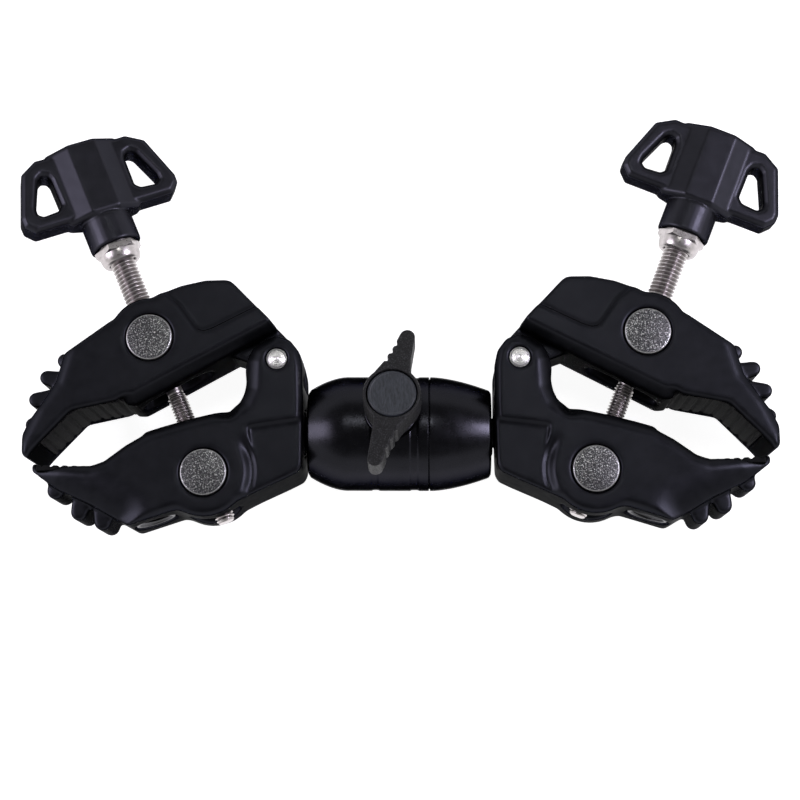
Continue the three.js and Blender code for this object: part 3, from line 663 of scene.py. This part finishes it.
class Surface:
    """A principled material with helpers for its procedural detail."""

    def __init__(self, name, roughness=0.5, metallic=0.0, specular=0.5):
        self.material = bpy.data.materials.new(name)
        self.material.use_nodes = True
        self.tree = self.material.node_tree
        self.shader = self.tree.nodes["Principled BSDF"]
        self.shader.inputs["Roughness"].default_value = roughness
        self.shader.inputs["Metallic"].default_value = metallic
        self.shader.inputs["Specular IOR Level"].default_value = specular
        self.where = self.add("ShaderNodeTexCoord").outputs["Object"]
        self.bump = None

    def add(self, kind, **values):
        node = self.tree.nodes.new(kind)
        for key, value in values.items():
            if hasattr(node, key):
                setattr(node, key, value)
            else:
                node.inputs[key.replace("_", " ")].default_value = value
        return node

    def link(self, source, target):
        self.tree.links.new(source, target)

    def noise(self, grain, detail, stretch=None, turn=0.0):
        """Noise with grains about this many millimetres across. It can be stretched and turned about Z."""
        node = self.add(
            "ShaderNodeTexNoise", Scale=1 / (grain * MM), Detail=detail, Roughness=NOISE_ROUGHNESS
        )
        where = self.where
        if stretch:
            mapping = self.add("ShaderNodeMapping")
            mapping.inputs["Scale"].default_value = stretch
            mapping.inputs["Rotation"].default_value = (0, 0, turn)
            self.link(where, mapping.inputs["Vector"])
            where = mapping.outputs["Vector"]
        self.link(where, node.inputs["Vector"])
        return node.outputs["Fac"]

    def ramp(self, source, *stops):
        """A colour ramp from (place, colour) stops."""
        node = self.add("ShaderNodeValToRGB")
        band = node.color_ramp
        while len(band.elements) < len(stops):
            band.elements.new(0.5)
        for element, (place, colour) in zip(band.elements, stops):
            element.position = place
            element.color = (*colour, 1)
        self.link(source, node.inputs["Fac"])
        return node.outputs["Color"]

    def span(self, source, low, high, start=0.3, end=0.7):
        """The source's stretch from start to end, spread over low to high."""
        node = self.add("ShaderNodeMapRange")
        for key, value in (("From Min", start), ("From Max", end), ("To Min", low), ("To Max", high)):
            node.inputs[key].default_value = value
        self.link(source, node.inputs["Value"])
        return node.outputs["Result"]

    def colour(self, source):
        self.link(source, self.shader.inputs["Base Color"])

    def rough(self, source):
        self.link(source, self.shader.inputs["Roughness"])

    def relief(self, source, height, strength=1.0):
        """Adds a bump of this height in millimetres on top of the ones before."""
        node = self.add("ShaderNodeBump", Strength=strength, Distance=height * MM)
        self.link(source, node.inputs["Height"])
        if self.bump:
            self.link(self.bump, node.inputs["Normal"])
        self.bump = node.outputs["Normal"]
        self.link(self.bump, self.shader.inputs["Normal"])

    def flat(self, colour):
        """One colour as an output, to be mixed."""
        node = self.add("ShaderNodeRGB")
        node.outputs[0].default_value = (*colour, 1)
        return node.outputs[0]

    def edges(self):
        """Above 0.5 on an outward edge, below it in a hollow."""
        return self.add("ShaderNodeNewGeometry").outputs["Pointiness"]

    def mix(self, share, a, b):
        factor, first, second, result = 0, 6, 7, 2  # the mix node's sockets for colours
        node = self.add("ShaderNodeMix", data_type="RGBA")
        self.link(share, node.inputs[factor])
        self.link(a, node.inputs[first])
        self.link(b, node.inputs[second])
        return node.outputs[result]


GRAZING = 0.2  # how much of its edge-on shine a black finish keeps
WORN = (0.04, 0.04, 0.046)


def painted(name, dark, light, roughness, grain=0.35):
    """A black finish given by its shine: fine orange peel, faint mottling and paler flecks on its edges."""
    surface = Surface(name, roughness, metallic=1.0)
    surface.shader.inputs["Specular Tint"].default_value = (GRAZING, GRAZING, GRAZING, 1)
    mottle = surface.ramp(surface.noise(6.0, detail=5.0), (0.3, dark), (0.75, light))
    share = surface.add("ShaderNodeMath", operation="MULTIPLY")
    sharp = surface.span(surface.edges(), 0.0, 1.0, start=0.54, end=0.64)
    flecks = surface.span(surface.noise(0.8, detail=4.0), 0.0, 1.0, start=0.42, end=0.62)
    surface.link(sharp, share.inputs[0])
    surface.link(flecks, share.inputs[1])
    surface.colour(surface.mix(share.outputs[0], mottle, surface.flat(WORN)))
    surface.rough(surface.span(surface.noise(3.0, detail=4.0), roughness - 0.04, roughness + 0.05))
    surface.relief(surface.noise(grain, detail=2.0), height=0.012)
    surface.relief(surface.noise(4.0, detail=2.0), height=0.02, strength=0.5)
    return surface.material


def grained_plastic():
    surface = Surface("grained_nylon", roughness=0.5, specular=0.22)
    grains = surface.noise(0.38, detail=2.0)
    dark, plain, bright = (0.004, 0.004, 0.0045), (0.007, 0.007, 0.0075), (0.032, 0.033, 0.036)
    surface.colour(surface.ramp(grains, (0.38, dark), (0.55, plain), (0.7, bright)))
    surface.rough(surface.span(grains, 0.6, 0.4))
    surface.relief(grains, height=0.2)
    return surface.material


def brushed_plastic():
    """The lever's disc: fine slanted marks over a grained face."""
    surface = Surface("brushed_nylon", roughness=0.5)
    marks = surface.noise(0.42, detail=2.0, stretch=(1.0, 0.16, 1.0), turn=math.radians(35))
    surface.colour(surface.ramp(marks, (0.3, (0.006, 0.008, 0.011)), (0.72, (0.024, 0.028, 0.036))))
    surface.relief(marks, height=0.1)
    surface.relief(surface.noise(0.3, detail=2.0), height=0.05)
    return surface.material


def rubber_material():
    surface = Surface("ribbed_rubber", roughness=0.8, specular=0.08)
    dark, light = (0.003, 0.003, 0.0035), (0.006, 0.006, 0.0065)
    surface.colour(surface.ramp(surface.noise(2.0, detail=4.0), (0.3, dark), (0.7, light)))
    surface.relief(surface.noise(0.25, detail=3.0), height=0.05)
    return surface.material


def machined_steel():
    surface = Surface("machined_nickel", roughness=0.3, metallic=1.0)
    dark, light = (0.42, 0.395, 0.39), (0.56, 0.525, 0.52)
    surface.colour(surface.ramp(surface.noise(2.0, detail=3.0), (0.3, dark), (0.7, light)))
    surface.rough(surface.span(surface.noise(0.9, detail=3.0), 0.26, 0.34))
    return surface.material


def threaded_steel():
    """A similar metal, with painted shade in the thread's roots and a painted highlight on its crests."""
    surface = Surface("threaded_nickel", roughness=0.32, metallic=1.0)
    root, plain, crest = (0.04, 0.036, 0.035), (0.34, 0.315, 0.31), (0.74, 0.7, 0.69)
    # The ramp over the edges paints shade into the thread's roots and a highlight onto its crests.
    surface.colour(surface.ramp(surface.edges(), (0.44, root), (0.5, plain), (0.57, crest)))
    surface.rough(surface.span(surface.noise(0.9, detail=3.0), 0.3, 0.36))
    return surface.material


def rivet_steel():
    """The spun rivet heads: a bright steel, unevenly polished."""
    surface = Surface("spun_steel", roughness=0.3, metallic=1.0)
    dark, light = (0.72, 0.7, 0.69), (0.93, 0.92, 0.91)
    surface.colour(surface.ramp(surface.noise(0.8, detail=3.0), (0.3, dark), (0.7, light)))
    surface.rough(surface.span(surface.noise(0.4, detail=2.0), 0.25, 0.42))
    surface.relief(surface.noise(0.5, detail=2.0), height=0.02)
    return surface.material


def speckled_nickel():
    """Tumbled end faces: a grey metal with sparse bright specks and a painted highlight along its edge."""
    surface = Surface("speckled_nickel", roughness=0.4, metallic=1.0)
    specks = surface.noise(0.4, detail=2.0)
    dull, grey, bright, rim = (0.05, 0.05, 0.053), (0.14, 0.14, 0.145), (0.75, 0.75, 0.75), (0.7, 0.7, 0.7)
    face = surface.ramp(specks, (0.42, dull), (0.58, grey), (0.68, bright))
    # The bright colour mixed in on the edges is a painted highlight.
    edge = surface.span(surface.edges(), 0.0, 1.0, start=0.52, end=0.6)
    surface.colour(surface.mix(edge, face, surface.flat(rim)))
    surface.rough(surface.span(specks, 0.5, 0.3))
    surface.relief(specks, height=0.09)
    return surface.material


def plain_metal(name, colour, roughness):
    """A metal with fine marks along one way."""
    surface = Surface(name, roughness, metallic=1.0)
    shade = tuple(c * 0.8 for c in colour)
    surface.colour(surface.ramp(surface.noise(1.5, detail=3.0), (0.3, shade), (0.7, colour)))
    surface.relief(surface.noise(0.6, detail=2.0, stretch=(1.0, 0.1, 1.0)), height=0.02)
    return surface.material


def moulded(name, colour, roughness):
    surface = Surface(name, roughness)
    shade = tuple(c * 0.85 for c in colour)
    surface.colour(surface.ramp(surface.noise(2.5, detail=3.0), (0.3, shade), (0.7, colour)))
    surface.relief(surface.noise(0.5, detail=2.0), height=0.02)
    return surface.material


JAW_PAINT = painted("satin_powder_coat", (0.017, 0.0175, 0.0215), (0.021, 0.0215, 0.026), roughness=0.4)
KNOB_PAINT = painted("satin_knob_paint", (0.03, 0.03, 0.037), (0.035, 0.035, 0.043), roughness=0.4)
BARREL_PAINT = painted(
    "black_anodise", (0.02, 0.02, 0.024), (0.024, 0.024, 0.029), roughness=0.27, grain=0.2
)
BLACK_STEEL = painted("black_oxide", (0.02, 0.02, 0.022), (0.028, 0.028, 0.03), roughness=0.35)
LEVER_PLASTIC = grained_plastic()
CAP_PLASTIC = brushed_plastic()
RUBBER = rubber_material()
STEEL = machined_steel()
THREAD_STEEL = threaded_steel()
RIVET_STEEL = rivet_steel()
NICKEL = speckled_nickel()
DULL_STEEL = plain_metal("dull_steel", (0.1, 0.1, 0.105), roughness=0.4)
BRASS = plain_metal("turned_brass", (0.62, 0.45, 0.2), roughness=0.35)
BUSH_METAL = plain_metal("turned_bush", (0.5, 0.5, 0.52), roughness=0.35)
POLYMER = moulded("acetal", (0.62, 0.6, 0.56), roughness=0.45)


# ---------- the pieces ----------
def build_clamps():
    """Both clamps from one set. A row: mesh, places, body, slot, material, ending of the name."""
    lower_pad, upper_pad = pad_mesh("right_lower_pad"), pad_mesh("right_upper_pad")
    upper_pin = barrel_pin_mesh(UPPER_PIN, UPPER_BORE_RADIUS)
    lower_pin = barrel_pin_mesh(LOWER_PIN, LOWER_BORE_RADIUS)
    shapes = {
        "lower_jaw": (lower_jaw_mesh(), CLAMPS, "clamp", "jaw_paint", JAW_PAINT, "casting"),
        "upper_jaw": (upper_jaw_mesh(), CLAMPS, "upper", "jaw_paint", JAW_PAINT, "casting"),
        "lower_pad": (lower_pad, CLAMPS, "clamp", "rubber", RUBBER, "rubber"),
        "upper_pad": (upper_pad, CLAMPS, "upper", "rubber", RUBBER, "rubber"),
        "wing_knob": (wing_knob_mesh(), KNOBS, "knob", "knob_paint", KNOB_PAINT, "casting"),
        "clamp_screw": (screw_mesh(), KNOBS, "knob", "bright_steel", THREAD_STEEL, "threaded"),
        "hex_nut": (nut_mesh(), KNOBS, "knob", "bright_steel", STEEL, "turned"),
        "lock_washer": (washer_mesh(), KNOBS, "washer", "bright_steel", STEEL, "turned"),
        "upper_barrel_pin": (upper_pin, CLAMPS, "top_pin", "speckled_nickel", NICKEL, "turned"),
        "lower_barrel_pin": (lower_pin, CLAMPS, "low_pin", "speckled_nickel", NICKEL, "turned"),
        "hinge_pin": (rivet_mesh(), CLAMPS, "clamp", "bright_steel", RIVET_STEEL, "turned"),
        "thread_insert": (insert_mesh(), CLAMPS, "clamp", "bright_steel", DULL_STEEL, "threaded"),
        "ball_stud": (ball_stud_mesh(), CLAMPS, "clamp", "black_steel", BLACK_STEEL, "turned"),
        "neck_seal": (neck_seal_mesh(), CLAMPS, "seal", "rubber", RUBBER, "moulded"),
    }
    for node, (mesh, places, body, slot, material, made) in shapes.items():
        for side in SIDES:
            name = side + "_" + node
            make_piece(name + "_" + made, mesh.copy(), places[side], side + "_" + body, slot, material, name)


def build_barrel():
    lever, disc = lock_lever_mesh(), lever_cap_mesh()
    make_piece("barrel_turned", barrel_mesh(), IN_FRAME, "root", "barrel_paint", BARREL_PAINT, "barrel")
    make_piece("lever_seat", lever_seat_mesh(), LEVER, "root", "barrel_paint", BARREL_PAINT, "barrel")
    make_piece("end_cap_turned", end_cap_mesh(), IN_FRAME, "root", "barrel_paint", BARREL_PAINT, "end_cap")
    make_piece(
        "lock_lever_moulded", lever, LEVER_SHOWN, "lever", "lever_plastic", LEVER_PLASTIC, "lock_lever"
    )
    make_piece("lever_cap_disc", disc, LEVER_SHOWN, "lever", "lever_plastic", CAP_PLASTIC, "lever_cap")


def paint_inner_nodes():
    """The hidden inner pieces stay as they are in the frame, with their own finishes."""
    finishes = {"ball_cup": POLYMER, "thrust_block": BRASS, "lock_screw": STEEL, "lock_bush": BUSH_METAL}
    for name, node in frame["nodes"].items():
        for ending, material in finishes.items():
            if name.endswith(ending):
                node.data.materials.clear()
                node.data.materials.append(material)


# ---------- floor, light and camera ----------
def build_floor():
    half = 6.0  # metres
    mesh = bpy.data.meshes.new("floor")
    corners = [(-half, -half, 0), (half, -half, 0), (half, half, 0), (-half, half, 0)]
    mesh.from_pydata(corners, [], [(0, 1, 2, 3)])
    floor = bpy.data.objects.new("floor", mesh)
    bpy.context.scene.collection.objects.link(floor)
    surface = Surface("lit_white_table", roughness=0.7, specular=0.1)
    dark, light, glow = (0.48, 0.48, 0.48), (0.5, 0.5, 0.5), 0.93
    surface.colour(surface.ramp(surface.noise(30.0, detail=3.0), (0.3, dark), (0.7, light)))
    surface.shader.inputs["Emission Color"].default_value = (1, 1, 1, 1)
    surface.shader.inputs["Emission Strength"].default_value = glow
    mesh.materials.append(surface.material)


def build_world():
    """A dark studio: dim overhead and bright low down."""
    # (height looked at, brightness)
    levels = ((0.0, 0.9), (0.5, 0.9), (0.54, 0.4), (0.62, 0.2), (1.0, 0.14))
    world = bpy.data.worlds.new("studio")
    world.use_nodes = True
    bpy.context.scene.world = world
    tree = world.node_tree
    back = tree.nodes["Background"]
    where = tree.nodes.new("ShaderNodeTexCoord")
    split = tree.nodes.new("ShaderNodeSeparateXYZ")
    tree.links.new(where.outputs["Generated"], split.inputs[0])
    ramp = tree.nodes.new("ShaderNodeValToRGB")
    tree.links.new(split.outputs["Z"], ramp.inputs["Fac"])
    while len(ramp.color_ramp.elements) < len(levels):
        ramp.color_ramp.elements.new(0.5)
    top = max(level for _, level in levels)
    for element, (place, level) in zip(ramp.color_ramp.elements, levels):
        element.position = place
        element.color = (level / top, level / top, level / top, 1)
    tree.links.new(ramp.outputs["Color"], back.inputs["Color"])
    back.inputs["Strength"].default_value = top


LIT_POINT = (0, 0, 0.02)  # where the softboxes look, in metres
SOFTBOXES = (  # (name, place, size, watts, colour), in metres
    ("softbox_left", (-0.58, -0.02, 0.41), (0.32, 0.36), 2.2, (1.0, 0.94, 1.08)),
    ("softbox_right", (0.53, 0.03, 0.52), (0.24, 0.2), 3.2, (0.98, 0.93, 1.1)),
    ("lamp_above", (0.0, 0.218, 0.873), (0.16, 0.12), 0.64, (0.98, 1.0, 0.97)),
)


def add_softbox(name, place, size, power, colour):
    light = bpy.data.lights.new(name, "AREA")
    light.shape, light.size, light.size_y = "RECTANGLE", size[0], size[1]
    light.energy, light.color = power, colour
    lamp = bpy.data.objects.new(name, light)
    lamp.location = place
    lamp.rotation_euler = (Vector(LIT_POINT) - Vector(place)).to_track_quat("-Z", "Y").to_euler()
    bpy.context.scene.collection.objects.link(lamp)


def build_camera():
    """Looks down on the clamps, leaning a little back from the knobs' side."""
    lean, turn, roll = math.radians(10.53), math.radians(-1.43), math.radians(0.371)
    distance, aim_x, aim_y = 543.7, -0.04, 10.66
    focal, sensor, near = 79.2, 36.0, 0.01
    forward = Vector((math.sin(turn), math.sin(lean), -math.cos(lean) * math.cos(turn))).normalized()
    right = forward.cross(Vector((0, 1, 0))).normalized()
    up = right.cross(forward)
    rolled_right = right * math.cos(roll) + up * math.sin(roll)
    rolled_up = up * math.cos(roll) - right * math.sin(roll)
    place = (CENTRE + Vector((aim_x, aim_y, 0)) - forward * distance) * MM
    data = bpy.data.cameras.new("camera")
    data.lens, data.sensor_width = focal, sensor
    data.clip_start = near
    camera = bpy.data.objects.new("camera", data)
    axes = Matrix((rolled_right, rolled_up, -forward)).transposed().to_4x4()
    camera.matrix_world = Matrix.Translation(place) @ axes
    bpy.context.scene.collection.objects.link(camera)
    bpy.context.scene.camera = camera


build_clamps()
build_barrel()
paint_inner_nodes()
build_floor()
build_world()
for softbox in SOFTBOXES:
    add_softbox(*softbox)
build_camera()
bpy.context.scene.view_settings.view_transform = "Standard"
